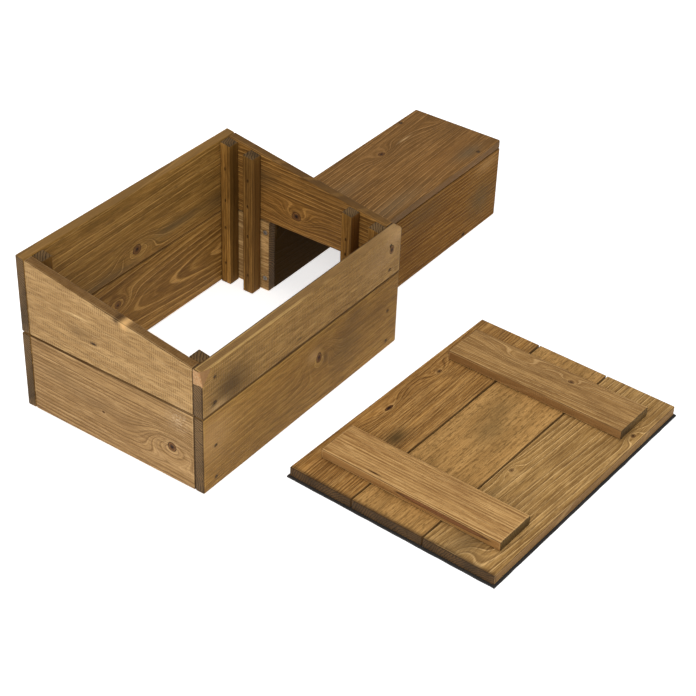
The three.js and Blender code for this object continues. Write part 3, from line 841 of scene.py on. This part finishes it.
LID_GRAIN = {
    "lid_board_front": wood(
        (167, 127, 70), (227, 184, 121), (107, 75, 37), (116, 84, 46), ring=0.0078, pith=(0.26, -0.04),
        lean=(-0.04, 0.02), line=1.0, band=0.36, pin_lines=0.22, arris_reach=0.0008, end=(92, 66, 36),
        knots=(
            (0.178, 0.095, 0.003, 1.4, 0.6, 1.6, 0.02, 0.008),
            (0.341, 0.011, 0.0032, 1.4, 0.9, 1.8, 0.02, 0.008),
            (-0.004, 0.056, 0.001, 1.0, 0.0, 5.2, 0.048, 0.026),
        ),
        patches=(
            (0.0, 0.053, 0.0045, 0.2, (66, 44, 20), 0.9), (0.03, 0.06, 0.04, 0.024, (112, 88, 54), 0.6),
            (0.12, 0.088, 0.03, 0.006, (110, 84, 46), 0.5),
        ),
    ),
    "lid_board_middle": wood(
        (184, 138, 78), (217, 171, 106), (118, 86, 42), (116, 84, 46), ring=0.016, pith=(0.3, -0.04),
        line=0.25, band=0.3, pin_lines=0.24, mottle=0.55, arris_reach=0.0008, end=(92, 66, 36),
        patches=(
            (0.0, 0.054, 0.0045, 0.2, (66, 44, 20), 0.9),
            (0.228, 0.055, 0.03, 0.02, (118, 92, 52), 0.6),
            (0.273, 0.069, 0.026, 0.016, (118, 90, 50), 0.5),
        ),
    ),
    "lid_board_rear": wood(
        (181, 132, 68), (227, 180, 113), (100, 65, 28), (112, 82, 44), ring=0.0042, pith=(-0.4, -0.03),
        lean=(0.03, 0.02), wander=0.0012, line=0.8, line_is_light=False, band=0.36, pin_lines=0.26,
        arris_reach=0.0008, end=(92, 66, 36),
        knots=(
            (0.18, 0.075, 0.003, 2.6, 1.5, 3.0, 0.042, 0.011),
            (0.291, 0.072, 0.0028, 1.6, 0.8, 3.6, 0.034, 0.011),
        ),
        patches=(
            (0.0, 0.049, 0.0045, 0.2, (66, 44, 20), 0.9),
            (0.137, 0.03, 0.024, 0.012, (80, 60, 30), 0.85),
        ),
    ),
    "lid_batten_near": wood(
        (196, 151, 91), (231, 189, 128), (129, 87, 43), (140, 100, 54), ring=0.0046, pith=(0.4, -0.1),
        lean=(0.02, 0.01), wander=0.0008, line=0.6, line_is_light=False, band=0.16, pin_lines=0.36,
        arris_dark=0.75, end=(116, 90, 46),
        resin_streak=(0.088, 0.0087, 0.07, 0.0033, (126, 84, 50), 1.0),
        patches=((0.197, 0.06, 0.01, 0.0015, (70, 44, 20), 0.9),),
    ),
    "lid_batten_far": wood(
        (171, 130, 75), (209, 167, 110), (120, 84, 44), (130, 92, 50), ring=0.0068, pith=(0.3, -0.05),
        lean=(0.04, 0.02), wander=0.0016, line=0.85, band=0.36, pin_lines=0.3, fibre=0.58, saw=0.25,
        arris_dark=0.75, end=(140, 110, 64),
        knots=(
            (0.1087, 0.02, 0.0034, 1.4, 0.8, 2.0, 0.022, 0.009),
            (0.19, 0.023, 0.001, 1.4, 0.0, 3.0, 0.048, 0.014),
        ),
    ),
}
GRAIN = {**WALL_GRAIN, **END_GRAIN, **POST_GRAIN, **TUNNEL_GRAIN, **LID_GRAIN}


# ---- shaping ----
def everything(bm):
    return bm.verts[:] + bm.edges[:] + bm.faces[:]


def cut_line(bm, point, normal):
    bmesh.ops.bisect_plane(
        bm, geom=everything(bm), dist=CUT_TOLERANCE, plane_co=point, plane_no=normal
    )


def slice_off(bm, point, normal, finish_index=0):
    """Cuts away what lies beyond a plane and closes the cut."""
    cut = bmesh.ops.bisect_plane(
        bm, geom=everything(bm), dist=CUT_TOLERANCE, plane_co=point, plane_no=normal,
        clear_outer=True,
    )
    rim = [piece for piece in cut["geom_cut"] if isinstance(piece, bmesh.types.BMEdge)]
    if not rim:
        return
    cap = bmesh.ops.edgenet_fill(bm, edges=rim)
    for face in cap["faces"]:
        face.material_index = finish_index


def ease_arrises(bm, radius, segments=3):
    sharp = [edge for edge in bm.edges if edge.calc_face_angle(0) > ARRIS_ANGLE]
    bmesh.ops.bevel(
        bm, geom=sharp, offset=radius, offset_type="OFFSET", segments=segments, profile=0.5,
        affect="EDGES", clamp_overlap=True, material=-1,
    )


def sink_hole(bm, place, side, half_along, half_across, depth):
    """Presses a round or oval hole into a board's broad face on the given side."""
    reach_along = half_along * HOLE_MARGIN
    reach_across = half_across * HOLE_MARGIN
    for shift in (-reach_along, reach_along):
        cut_line(bm, (place[0] + shift, 0, 0), (1, 0, 0))
    for shift in (-reach_across, reach_across):
        cut_line(bm, (0, place[1] + shift, 0), (0, 1, 0))
    centre = Vector(place)
    flats = [face for face in bm.faces if face.normal.z * side > 0.9]
    target = min(flats, key=lambda face: (face.calc_center_median().xy - centre).length)
    bmesh.ops.bisect_edges(bm, edges=target.edges[:], cuts=3)
    lesser = min(half_along, half_across)
    bmesh.ops.inset_individual(bm, faces=[target], thickness=lesser * HOLE_INSET)
    for vert in target.verts:
        turn = (vert.co.xy - centre).normalized()
        vert.co.x = centre.x + turn.x * half_along
        vert.co.y = centre.y + turn.y * half_across
    bmesh.ops.inset_individual(bm, faces=[target], thickness=lesser * HOLE_RIM, depth=-depth)


def weather(bm, size, seed, amount, pitch):
    """Adds cuts along the board and lets its faces wander slightly inwards."""
    count = max(2, round(size.x / pitch))
    for step in range(1, count):
        cut_line(bm, (size.x * (step / count - 0.5), 0, 0), (1, 0, 0))
    for share in (-0.25, 0.0, 0.25):
        cut_line(bm, (0, size.y * share, 0), (0, 1, 0))
    for vert in bm.verts:
        x, y, z = vert.co
        wide = noise.noise(Vector((x * 9 + seed, y * 7, z * 20)))
        fine = noise.noise(Vector((x * 42, y * 30 + seed, z * 60)))
        inward = amount * (0.5 + 0.38 * wide + 0.22 * fine)
        vert.co.y -= math.copysign(inward, y) * min(1.0, abs(y) / (size.y * 0.4))
        vert.co.z -= math.copysign(inward * 0.6, z) * min(1.0, abs(z) / (size.z * 0.4))


def finish_piece(bm, name, placing, materials, body, slot, *nodes):
    """Turns a shaped mesh into a piece in its place, riding on its body."""
    bmesh.ops.transform(bm, matrix=placing, verts=bm.verts)
    bmesh.ops.recalc_face_normals(bm, faces=bm.faces)
    mesh = bpy.data.meshes.new(name)
    bm.to_mesh(mesh)
    bm.free()
    for material in materials:
        mesh.materials.append(material)
    mesh.shade_smooth()
    mesh.set_sharp_from_angle(angle=SMOOTH_ANGLE)
    piece = bpy.data.objects.new(name, mesh)
    bpy.context.scene.collection.objects.link(piece)
    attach(piece, body)
    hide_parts(*nodes)
    return piece


def nails_through(*nodes):
    """Middle of each fixing's box, in the row frame."""
    return [sum(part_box(node), Vector()) / 2 for node in nodes]


def board_frame(node, lay):
    """Centre, size along the board's own axes, and placing of a board the frame holds square."""
    low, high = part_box(node)
    turn = LAYS[lay].to_matrix()
    size = turn.transposed() @ (high - low)
    size = Vector((abs(size.x), abs(size.y), abs(size.z)))
    centre = (low + high) / 2
    return centre, size, Matrix.Translation(centre) @ turn.to_4x4()


def build_board(settings, kind, node, number=0, fixings=(), side=1, hole=None, roof_drop=None,
                broken=False, slots=(), fixed_frame=None, body="box"):
    """One board, post or batten with its wood, its holes and its eased arrises.

    Fixings are places of nails and screws in round holes, slots are places of small nails, and
    roof_drop is how far a board's sloping top lies under the walls' top plane.
    """
    sizes = settings.sizes
    lay, slot, arris, seed, step = BOARD_KINDS[kind]
    seed += number * step
    centre, size, placing = fixed_frame or board_frame(node, lay)
    inverse = placing.inverted()
    turn = inverse.to_3x3()
    bm = bmesh.new()
    bmesh.ops.create_cube(bm, size=1.0)
    bmesh.ops.scale(bm, vec=size, verts=bm.verts)
    slope = None
    if roof_drop is not None:
        on_roof = Vector((centre.x, OUTER_FRONT, FRONT_EDGE_HEIGHT - roof_drop))
        slice_off(bm, inverse @ on_roof, turn @ ROOF_NORMAL)
        if lay == "crosswise upright":
            middle = FRONT_EDGE_HEIGHT + ROOF_RISE * (centre.y - OUTER_FRONT) - centre.z
            slope = (ROOF_RISE, middle)
    materials = []
    if broken:
        break_corner(bm, inverse, turn)
        materials.append(split_wood(settings.colours))
    ease_arrises(bm, getattr(sizes, arris))
    stains = []
    for fixing in fixings:
        place = (inverse @ fixing).xy
        sink_hole(bm, place, side, hole, hole, sizes.hole_depth)
        stains.append((place, hole))
    for place in slots:
        spot = (inverse @ Vector(place)).xy
        sink_hole(bm, spot, side, sizes.slot_length, sizes.slot_width, sizes.hole_depth * 2)
        stains.append((spot, sizes.slot_width * 1.2))
    weather(bm, size, seed, sizes.waviness, sizes.loop_pitch)
    timber = Timber(node, LAYS[lay], centre, size, seed, GRAIN[node], settings.colours)
    materials.insert(0, timber.finish(stains, slope))
    finish_piece(bm, node + "_finished", placing, materials, body, slot, node)


def break_corner(bm, inverse, turn):
    """Tears a tapering splinter off the front board's top corner at the closed end."""
    low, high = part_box("front_board_upper")
    on_top = Vector((low.x + BREAK_ALONG, low.y, FRONT_EDGE_HEIGHT))
    on_end = Vector((low.x, low.y, FRONT_EDGE_HEIGHT - BREAK_DOWN))
    for inward, along in BREAK_FACETS:
        behind = Vector((low.x, low.y + inward, FRONT_EDGE_HEIGHT))
        start = on_top - Vector((along, 0, 0))
        normal = (on_end - start).cross(behind - start).normalized()
        if normal.y > 0:
            normal.negate()
        slice_off(bm, inverse @ start, turn @ normal, finish_index=1)
    fresh_from = FRONT_EDGE_HEIGHT - BREAK_DOWN * BREAK_FRESH_SHARE
    fresh_line = inverse @ Vector((low.x, low.y, fresh_from))
    cut_line(bm, fresh_line, turn @ BREAK_FRESH_SLANT)
    for face in bm.faces:
        middle = face.calc_center_median()
        if face.normal.x < -0.9 and (inverse.inverted() @ middle).z > fresh_from:
            face.material_index = 1


def settings_of(context):
    return context.scene.nesting_box


class NESTINGBOX_OT_studio(bpy.types.Operator):
    """Set up the camera, the soft lights and the pale floor"""
    bl_idname = "nesting_box.studio"
    bl_label = "Studio"

    def execute(self, context):
        settings = settings_of(context)
        studio = settings.studio
        scene = context.scene
        heading, dip, roll = studio.camera_heading, studio.camera_dip, studio.camera_roll
        back = Vector((
            -math.cos(heading) * math.cos(dip), -math.sin(heading) * math.cos(dip), math.sin(dip)
        ))
        level = (-back).cross(Vector((0, 0, 1))).normalized()
        upward = level.cross(-back)
        right = level * math.cos(roll) + upward * math.sin(roll)
        top = upward * math.cos(roll) - level * math.sin(roll)
        lens = bpy.data.cameras.new("camera")
        lens.lens = studio.camera_lens
        lens.sensor_width = SENSOR_WIDTH
        lens.clip_end = VIEW_END
        camera = bpy.data.objects.new("camera", lens)
        turned = Matrix((right, top, back)).transposed().to_4x4()
        camera.matrix_world = Matrix.Translation(Vector(studio.camera_place)) @ turned
        scene.collection.objects.link(camera)
        scene.camera = camera
        scene.view_settings.view_transform = "Standard"

        world = bpy.data.worlds.new("pale_sky")
        world.use_nodes = True
        background = world.node_tree.nodes["Background"]
        background.inputs["Color"].default_value = (1.0, 1.0, 1.0, 1.0)
        background.inputs["Strength"].default_value = studio.sky_strength
        scene.world = world

        self.add_light(scene, "key_light", **KEY_LIGHT, power=studio.key_power)
        self.add_light(scene, "top_light", **TOP_LIGHT, power=studio.fill_power)
        self.add_floor(scene, settings.colours)
        return {"FINISHED"}

    @staticmethod
    def add_light(scene, name, place, size, power):
        lamp = bpy.data.lights.new(name, "AREA")
        lamp.shape = "DISK"
        lamp.size = size
        lamp.energy = power
        light = bpy.data.objects.new(name, lamp)
        light.location = place
        light.rotation_euler = (-Vector(place)).to_track_quat("-Z", "Y").to_euler()
        scene.collection.objects.link(light)

    @staticmethod
    def add_floor(scene, colours):
        graph = Graph("pale_floor")
        mottle = graph.noise(graph.place, scale=3.0)["Fac"]
        shade = graph.mix(graph.rise(mottle, 0.4, 0.6), colours.floor, colours.floor_mottle)
        graph.feed(graph.shader.inputs["Base Color"], shade)
        graph.shader.inputs["Roughness"].default_value = 0.9
        graph.shader.inputs["Emission Color"].default_value = (1.0, 1.0, 1.0, 1.0)
        graph.shader.inputs["Emission Strength"].default_value = FLOOR_GLOW
        bm = bmesh.new()
        bmesh.ops.create_grid(bm, x_segments=4, y_segments=4, size=FLOOR_REACH)
        bmesh.ops.translate(bm, vec=(0, 0, -FLOOR_DROP), verts=bm.verts)
        mesh = bpy.data.meshes.new("floor")
        bm.to_mesh(mesh)
        bm.free()
        mesh.materials.append(graph.material)
        floor = bpy.data.objects.new("floor", mesh)
        scene.collection.objects.link(floor)


class NESTINGBOX_OT_walls(bpy.types.Operator):
    """Build the two boards of the front wall and of the rear wall"""
    bl_idname = "nesting_box.walls"
    bl_label = "Front and rear walls"

    def execute(self, context):
        settings = settings_of(context)
        for number, wall in enumerate(("front", "rear")):
            for level in ("lower", "upper"):
                node = f"{wall}_board_{level}"
                nails = [
                    f"nail_{wall}_{end}_{level}_{which}"
                    for end in ("closed", "entrance") for which in (1, 2)
                ]
                build_board(
                    settings, "wall", node, number, fixings=nails_through(*nails),
                    side=OUTER_FACES[wall], hole=settings.sizes.nail_hole,
                    roof_drop=0.0 if level == "upper" else None, broken=node == "front_board_upper",
                )
        return {"FINISHED"}


class NESTINGBOX_OT_ends(bpy.types.Operator):
    """Build the closed end and the entrance end with its two stub boards"""
    bl_idname = "nesting_box.ends"
    bl_label = "End walls"

    def execute(self, context):
        settings = settings_of(context)
        for number, node in enumerate(END_GRAIN):
            screws = ()
            if "stub" in node:
                which = node.split("_")[-1]
                screws = nails_through(*[f"screw_stub_{which}_{place}" for place in (1, 2)])
            build_board(
                settings, "end", node, number, fixings=screws, side=-1,
                hole=settings.sizes.screw_hole, roof_drop=0.0 if "upper" in node else None,
            )
        return {"FINISHED"}


class NESTINGBOX_OT_posts(bpy.types.Operator):
    """Build the four corner posts and the two posts beside the entrance"""
    bl_idname = "nesting_box.posts"
    bl_label = "Posts"

    def execute(self, context):
        settings = settings_of(context)
        for number, node in enumerate(POST_GRAIN):
            low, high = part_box(node)
            across = (low.y + high.y) / 2
            slots = [(low.x, across, height) for height in POST_SLOTS.get(node, ())]
            build_board(settings, "post", node, number, roof_drop=POST_TOP_DROP, slots=slots)
        return {"FINISHED"}


class NESTINGBOX_OT_tunnel(bpy.types.Operator):
    """Build the entrance tunnel's two sides and its top"""
    bl_idname = "nesting_box.tunnel"
    bl_label = "Entrance tunnel"

    def execute(self, context):
        settings = settings_of(context)
        for number, side in enumerate(("front", "rear")):
            build_board(settings, "tunnel side", f"tunnel_side_{side}", number)
        nails = [f"nail_tunnel_{side}_{which}" for side in ("front", "rear") for which in (1, 2)]
        build_board(
            settings, "tunnel top", "tunnel_top", fixings=nails_through(*nails),
            hole=settings.sizes.tunnel_nail_hole,
        )
        return {"FINISHED"}


def lid_frame(lay, span_along, span_across, heights):
    """Centre, size and placing of a lid board or batten, square to the turned lid."""
    turn = Matrix.Rotation(LID_TURN, 3, "Z")
    middle = Vector((sum(span_along) / 2, sum(span_across) / 2, sum(heights) / 2))
    centre = LID_CORNER + turn @ middle
    extent = Vector([high - low for low, high in (span_along, span_across, heights)])
    if lay == "lid batten":
        extent = Vector((extent.y, extent.x, extent.z))
    return centre, extent, Matrix.Translation(centre) @ LAYS[lay].to_matrix().to_4x4()


class NESTINGBOX_OT_lid(bpy.types.Operator):
    """Build the lid's three boards and its two battens"""
    bl_idname = "nesting_box.lid"
    bl_label = "Lid"

    def execute(self, context):
        settings = settings_of(context)
        for number, (node, edges) in enumerate(LID_BOARD_EDGES.items()):
            placed = lid_frame("lid board", (0.0, LID_LENGTH), edges, LID_BOARD_HEIGHTS)
            build_board(settings, "lid board", node, number, fixed_frame=placed, body="lid")
        for number, (node, span) in enumerate(LID_BATTEN_SPANS.items()):
            placed = lid_frame("lid batten", span, LID_BATTEN_ENDS, LID_BATTEN_HEIGHTS)
            build_board(settings, "batten", node, number, fixed_frame=placed, body="lid")
        return {"FINISHED"}


class NESTINGBOX_OT_felt(bpy.types.Operator):
    """Build the roofing felt under the upturned lid"""
    bl_idname = "nesting_box.felt"
    bl_label = "Roofing felt"

    def execute(self, context):
        settings = settings_of(context)
        wide = LID_BOARD_EDGES["lid_board_rear"][1]
        _, size, placing = lid_frame(
            "lid board", (-FELT_OVERHANG, LID_LENGTH + FELT_OVERHANG),
            (-FELT_OVERHANG, wide + FELT_OVERHANG), FELT_HEIGHTS,
        )
        bm = bmesh.new()
        bmesh.ops.create_cube(bm, size=1.0)
        bmesh.ops.scale(bm, vec=size, verts=bm.verts)
        ease_arrises(bm, FELT_ARRIS, segments=2)
        along_cuts, across_cuts = FELT_CUTS
        for step in range(1, along_cuts):
            cut_line(bm, (size.x * (step / along_cuts - 0.5), 0, 0), (1, 0, 0))
        for step in range(1, across_cuts):
            cut_line(bm, (0, size.y * (step / across_cuts - 0.5), 0), (0, 1, 0))
        for vert in bm.verts:
            ragged = 0.5 + 0.5 * noise.noise(Vector((vert.co.x * 55, vert.co.y * 55, 4.0)))
            if abs(vert.co.x) > size.x / 2 - FELT_RAGGED_BAND:
                vert.co.x -= math.copysign(ragged * settings.sizes.felt_wander, vert.co.x)
            if abs(vert.co.y) > size.y / 2 - FELT_RAGGED_BAND:
                vert.co.y -= math.copysign(ragged * settings.sizes.felt_wander, vert.co.y)
        felt = roofing_felt(settings.colours)
        finish_piece(bm, "roofing_felt_finished", placing, [felt], "lid", "felt", "roofing_felt")
        return {"FINISHED"}


def turned_fixing(profile, steps=20):
    """Spins a fixing's half outline, (radius, height) from tip to head, about its own axis."""
    bm = bmesh.new()
    verts = [bm.verts.new((radius, 0, height)) for radius, height in profile]
    edges = [bm.edges.new(pair) for pair in zip(verts, verts[1:])]
    bmesh.ops.spin(
        bm, geom=verts + edges, cent=(0, 0, 0), axis=(0, 0, 1), dvec=(0, 0, 0), angle=math.tau,
        steps=steps, use_merge=True,
    )
    bmesh.ops.remove_doubles(bm, verts=bm.verts, dist=1e-6)
    bmesh.ops.recalc_face_normals(bm, faces=bm.faces)
    return bm


def nail_outline(head, length):
    """Half outline of a round-headed nail, its head's crown at height 0."""
    shank = head * 0.5
    return (
        (0.0, -length), (shank, -length + head), (shank, -head * 0.55), (head * 0.92, -head * 0.46),
        (head, -head * 0.38), (head * 0.97, -head * 0.20), (head * 0.70, -head * 0.06), (0.0, 0.0),
    )


class NESTINGBOX_OT_fixings(bpy.types.Operator):
    """Build the nails and the countersunk screws"""
    bl_idname = "nesting_box.fixings"
    bl_label = "Nails and screws"

    def execute(self, context):
        colours = settings_of(context).colours
        steel = fixing_metal("browned_steel", colours.steel, colours.steel_dull, 0.25, 0.7)
        zinc = fixing_metal("bright_zinc", colours.zinc, colours.zinc_dull, 1.0, 0.42)
        for node in sorted(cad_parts):
            if node.startswith("nail_"):
                self.drive(node, steel, "nail_steel")
            elif node.startswith("screw_"):
                self.drive(node, zinc, "screw_zinc")
        return {"FINISHED"}

    @staticmethod
    def drive(node, metal, slot):
        """Puts a fixing where its node lies: its axis is the longest side of the node's box."""
        low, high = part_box(node)
        extent = high - low
        axis = max(range(3), key=lambda index: extent[index])
        length = extent[axis]
        radius = min(extent[(axis + 1) % 3], extent[(axis + 2) % 3]) / 2
        outward = Vector((0, 0, 0))
        outward[axis] = HEAD_SIDES["_".join(node.split("_")[:2])]
        crown = (low + high) / 2 + outward * (length / 2)
        if slot == "screw_zinc":
            bm = countersunk_screw(radius, length)
        else:
            bm = turned_fixing(nail_outline(radius, length))
        turn = outward.to_track_quat("Z", "Y").to_matrix().to_4x4()
        placing = Matrix.Translation(crown) @ turn
        finish_piece(bm, node + "_finished", placing, [metal], "box", slot, node)


def countersunk_screw(radius, length):
    """A flat-headed screw with a cross recess, its head's face at height 0."""
    outline = (
        (0.0, -length), (radius * 0.45, -length + radius * 1.6), (radius * 0.45, -radius * 0.75),
        (radius, -radius * 0.10), (radius * 0.97, 0.0), (radius * 0.62, 0.0), (0.0, 0.0),
    )
    bm = turned_fixing(outline, steps=24)
    arm = radius * 0.13
    reach = radius * 0.56
    for shift in (-reach, -arm, arm, reach):
        cut_line(bm, (shift, 0, 0), (1, 0, 0))
        cut_line(bm, (0, shift, 0), (0, 1, 0))
    cross = []
    for face in bm.faces:
        middle = face.calc_center_median()
        near, far = sorted((abs(middle.x), abs(middle.y)))
        if face.normal.z > 0.9 and middle.z > -1e-6 and near < arm and far < reach:
            cross.append(face)
    bmesh.ops.inset_region(bm, faces=cross, thickness=radius * 0.03, depth=-radius * 0.28)
    return bm


class NestingBoxSettings(bpy.types.PropertyGroup):
    """All settings of the nesting box."""
    sizes: bpy.props.PointerProperty(type=NestingBoxSizes, name="Sizes", description="Small sizes")
    colours: bpy.props.PointerProperty(type=NestingBoxColours, name="Colours", description="Finishes")
    studio: bpy.props.PointerProperty(type=NestingBoxStudio, name="Studio", description="View and light")


BUILD_ORDER = (
    NESTINGBOX_OT_studio,
    NESTINGBOX_OT_walls,
    NESTINGBOX_OT_ends,
    NESTINGBOX_OT_posts,
    NESTINGBOX_OT_tunnel,
    NESTINGBOX_OT_lid,
    NESTINGBOX_OT_felt,
    NESTINGBOX_OT_fixings,
)


class NESTINGBOX_PT_panel(bpy.types.Panel):
    """Settings and build buttons of the nesting box"""
    bl_idname = "NESTINGBOX_PT_panel"
    bl_label = "Nesting box"
    bl_space_type = "VIEW_3D"
    bl_region_type = "UI"
    bl_category = "Nesting box"

    def draw(self, context):
        settings = settings_of(context)
        for group in (settings.sizes, settings.colours, settings.studio):
            box = self.layout.box()
            for name in group.__annotations__:
                box.prop(group, name)
        for operator in BUILD_ORDER:
            self.layout.operator(operator.bl_idname)


SETTING_GROUPS = (NestingBoxSizes, NestingBoxColours, NestingBoxStudio, NestingBoxSettings)
CLASSES = SETTING_GROUPS + BUILD_ORDER + (NESTINGBOX_PT_panel,)


def register():
    for made in CLASSES:
        bpy.utils.register_class(made)
    bpy.types.Scene.nesting_box = bpy.props.PointerProperty(type=NestingBoxSettings)


def unregister():
    del bpy.types.Scene.nesting_box
    for made in reversed(CLASSES):
        bpy.utils.unregister_class(made)


def main():
    register()
    for operator in BUILD_ORDER:
        family, name = operator.bl_idname.split(".")
        getattr(getattr(bpy.ops, family), name)()


if __name__ == "__main__":
    main()
